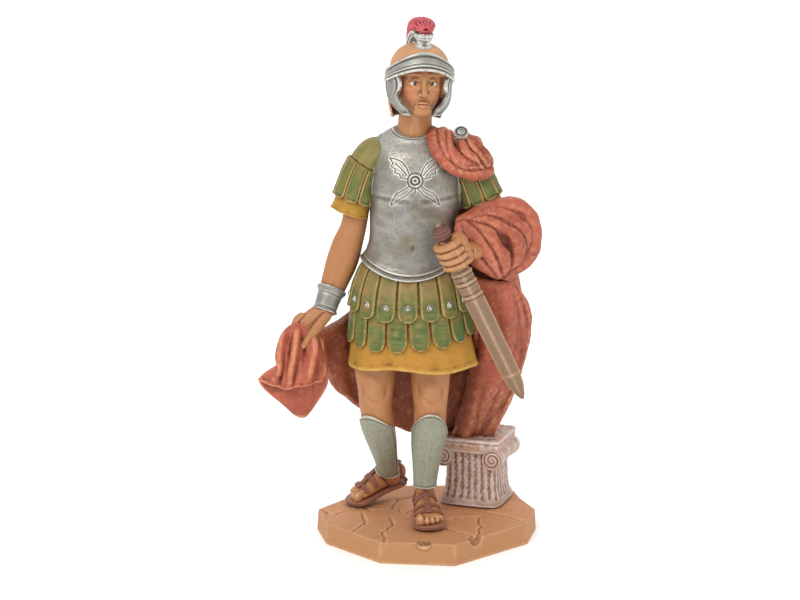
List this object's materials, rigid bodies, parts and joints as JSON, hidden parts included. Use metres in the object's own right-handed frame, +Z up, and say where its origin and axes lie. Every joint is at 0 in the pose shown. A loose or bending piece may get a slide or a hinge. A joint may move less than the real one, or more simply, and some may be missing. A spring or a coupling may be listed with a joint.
{
  "type": "roman soldier statue",
  "caption": "Painted resin figurine of a cloaked Roman soldier with a sheathed sword, standing on a paved base beside a stump of an Ionic column.",
  "frame": {"origin": "centre of the base's flat underside", "axes": "+Z up through the figure, the soldier faces -Y"},
  "size_m": [0.1599, 0.1109, 0.2984],
  "materials": {
    "figure_paint": "hand-painted resin, matt with satin silver armour and antique wash",
    "sword_paint": "hand-painted resin, brown-grey scabbard and dark pommel",
    "base_paint": "painted resin, matt tan",
    "column_paint": "painted resin, tan with a whitish dry brush"
  },
  "bodies": {
    "root": {"figure": "figure_paint", "sword": "sword_paint", "base": "base_paint", "column_stump": "column_paint"}
  },
  "joints": []
}
